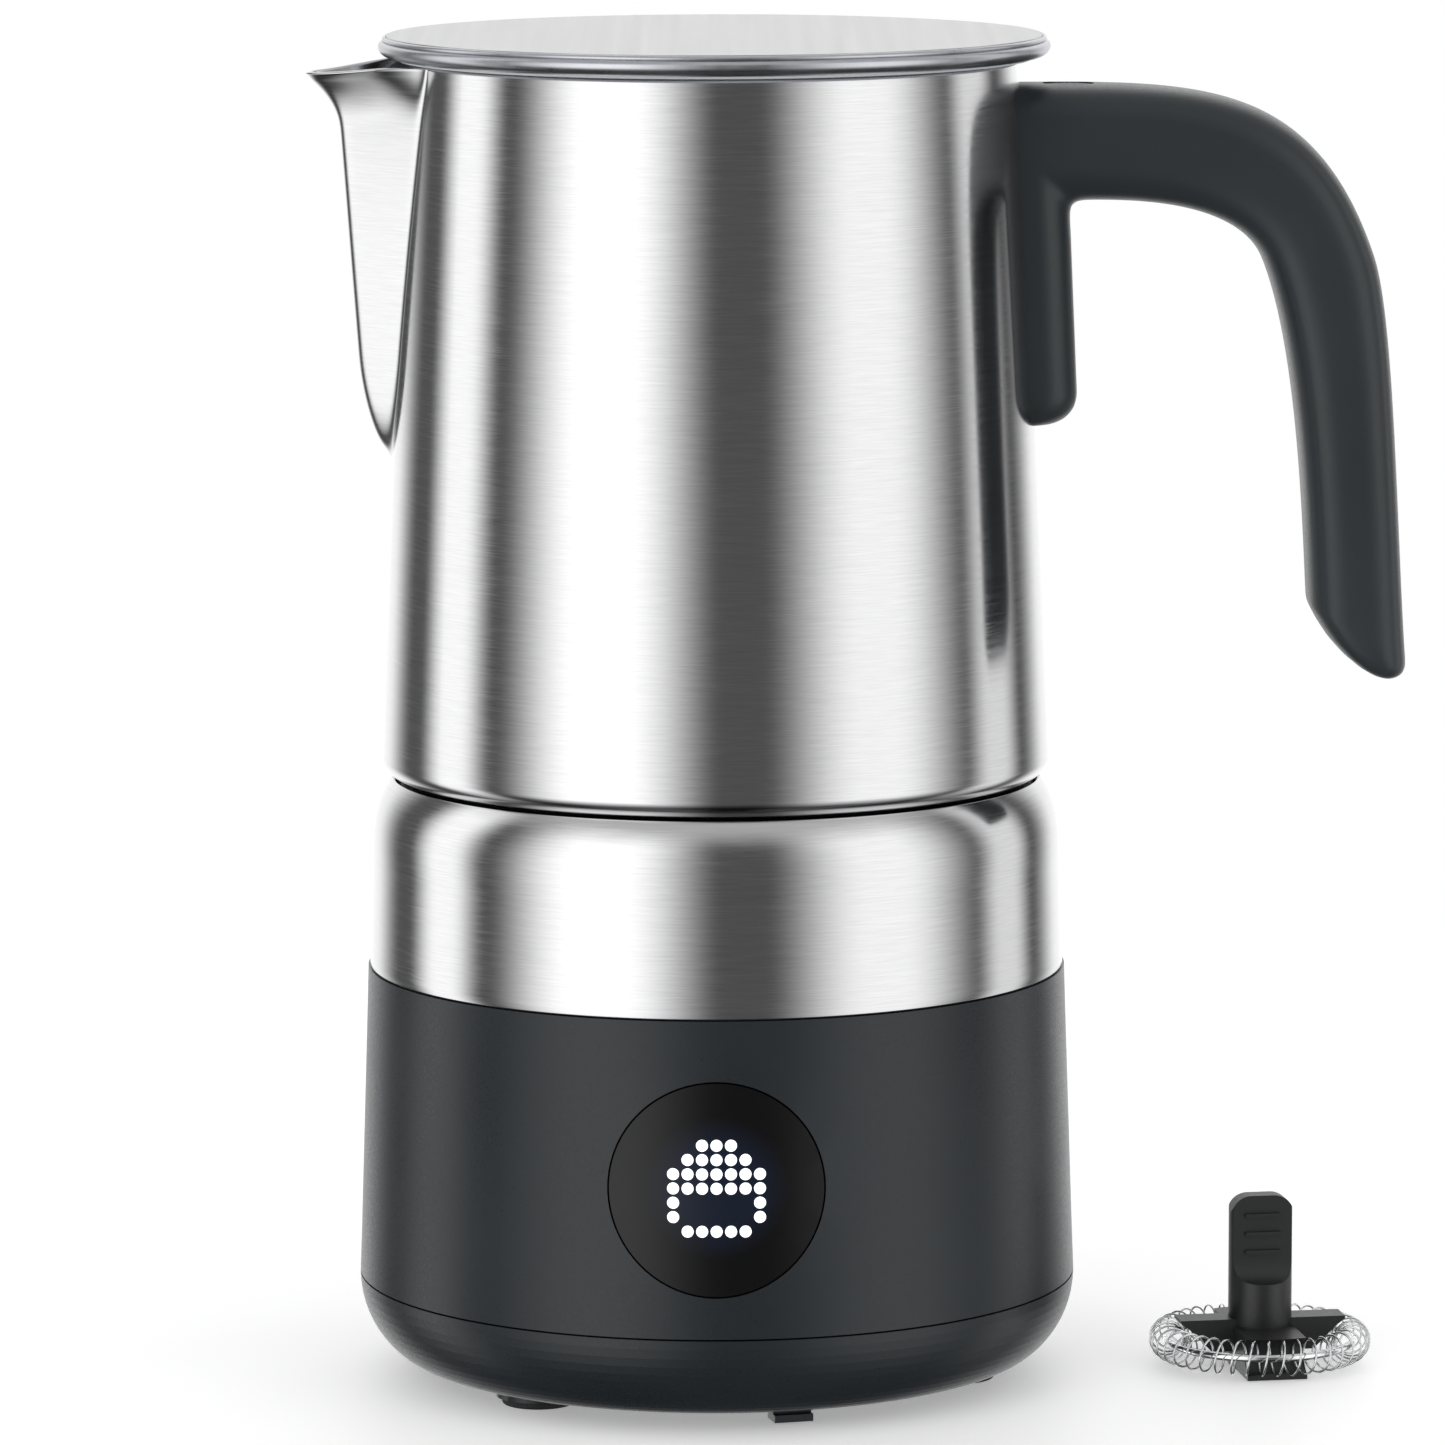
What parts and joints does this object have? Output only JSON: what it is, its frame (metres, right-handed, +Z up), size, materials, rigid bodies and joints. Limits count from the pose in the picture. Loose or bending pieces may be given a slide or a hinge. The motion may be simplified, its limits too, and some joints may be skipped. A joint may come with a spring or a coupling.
{
  "type": "milk frother",
  "caption": "Induction milk frother: brushed steel jug with beak spout and handle on a round dark base with a round dot-display button, flat steel lid, and a coil whisk beside it.",
  "frame": {"origin": "centre of the round base, on the plane of the rubber feet's soles", "axes": "+Z up along the jug's axis, -Y out of the round button, +X towards the handle, -X towards the spout"},
  "size_m": [0.1798, 0.1206, 0.2204],
  "materials": {
    "body_plastic": "satin moulded",
    "handle_plastic": "satin moulded",
    "rubber_black": "matte",
    "screw_steel": "satin",
    "steel_brushed": "brushed round the axis",
    "lid_steel": "fine brushed with a polished rim",
    "black_plastic": "satin",
    "white_plastic": "satin",
    "board_green": "solder mask",
    "aluminium": "satin",
    "zinc_steel": "zinc plated",
    "bronze": "sintered",
    "magnet": "nickel plated",
    "ferrite": "matte",
    "copper_wire": "lacquered",
    "mica": "flaky",
    "wire_sleeve": "satin",
    "gloss_black": "gloss",
    "display_light": "lit from behind",
    "ferritic_steel": "ground",
    "silicone_grey": "satin",
    "whisk_plastic": "satin moulded",
    "wire_steel": "bright drawn wire"
  },
  "bodies": {
    "base": {"bottom_cover": "body_plastic", "rubber_feet": "rubber_black", "cover_screws": "screw_steel", "body_shell": "body_plastic", "steel_collar": "steel_brushed", "top_plate": "black_plastic", "seal_ring": "rubber_black", "cord_gland": "rubber_black", "terminal_block": "white_plastic", "power_board": "board_green", "board_parts": "black_plastic", "heat_sink": "aluminium", "power_transistor": "black_plastic", "fan_frame": "black_plastic", "motor_bracket": "zinc_steel", "bracket_screws": "screw_steel", "motor_can": "zinc_steel", "motor_bearing": "bronze", "coil_carrier": "white_plastic", "ferrite_bars": "ferrite", "induction_coil": "copper_wire", "mica_disc": "mica", "sensor_guide": "white_plastic", "sensor_spring": "screw_steel", "inner_wires": "wire_sleeve", "display_frame": "black_plastic", "display_board": "board_green", "display_leds": "display_light", "led_shroud": "black_plastic", "button_switches": "black_plastic"},
    "fan": {"fan_rotor": "black_plastic"},
    "drive": {"drive_shaft": "screw_steel", "drive_hub": "black_plastic", "drive_magnets": "magnet"},
    "sensor": {"sensor_cap": "aluminium"},
    "button": {"button_panel": "gloss_black", "display_dots": "display_light"},
    "jug": {"jug_shell": "steel_brushed", "jug_base_disc": "ferritic_steel", "whisk_pin": "steel_brushed", "handle_bracket": "zinc_steel", "handle_body": "handle_plastic", "handle_screws": "screw_steel", "handle_plug": "black_plastic"},
    "lid": {"lid_plate": "lid_steel", "lid_seal": "silicone_grey"},
    "whisk_seat": {"stir_bush": "white_plastic"},
    "stir_whisk": {"stir_whisk": "whisk_plastic", "stir_magnets": "magnet"},
    "froth_whisk": {"froth_whisk": "whisk_plastic", "froth_bush": "white_plastic", "froth_magnets": "magnet", "froth_ring": "wire_steel", "froth_coil": "wire_steel"}
  },
  "joints": [
    {"name": "jug_lift", "type": "slide", "parent": "base", "child": "jug", "axis": [0, 0, 1], "range_m": [0, 0.08]},
    {"name": "lid_lift", "type": "slide", "parent": "jug", "child": "lid", "axis": [0, 0, 1], "range_m": [0, 0.06]},
    {"name": "whisk_lift", "type": "slide", "parent": "jug", "child": "whisk_seat", "axis": [0, 0, 1], "range_m": [0, 0.06]},
    {"name": "whisk_spin", "type": "hinge", "parent": "whisk_seat", "child": "stir_whisk", "pos_m": [0, 0, 0.1013], "axis": [0, 0, 1], "continuous": true},
    {"name": "drive_spin", "type": "hinge", "parent": "base", "child": "drive", "pos_m": [0, 0, 0.07], "axis": [0, 0, 1], "continuous": true},
    {"name": "fan_spin", "type": "hinge", "parent": "base", "child": "fan", "pos_m": [0, 0.016, 0.008], "axis": [0, 0, 1], "continuous": true},
    {"name": "button_press", "type": "slide", "parent": "base", "child": "button", "axis": [0, 1, 0], "range_m": [0, 0.0008], "stiffness_N_per_m": 800},
    {"name": "sensor_press", "type": "slide", "parent": "base", "child": "sensor", "axis": [0, 0, -1], "range_m": [0, 0.0015], "stiffness_N_per_m": 250, "deforming": ["sensor_spring"]},
    {"name": "froth_whisk_lift", "type": "slide", "parent": "base", "child": "froth_whisk", "axis": [0, 0, 1], "range_m": [0, 0.06]}
  ],
  "couplings": [
    {"joint": "whisk_spin", "follows": "drive_spin", "ratio": 1}
  ]
}
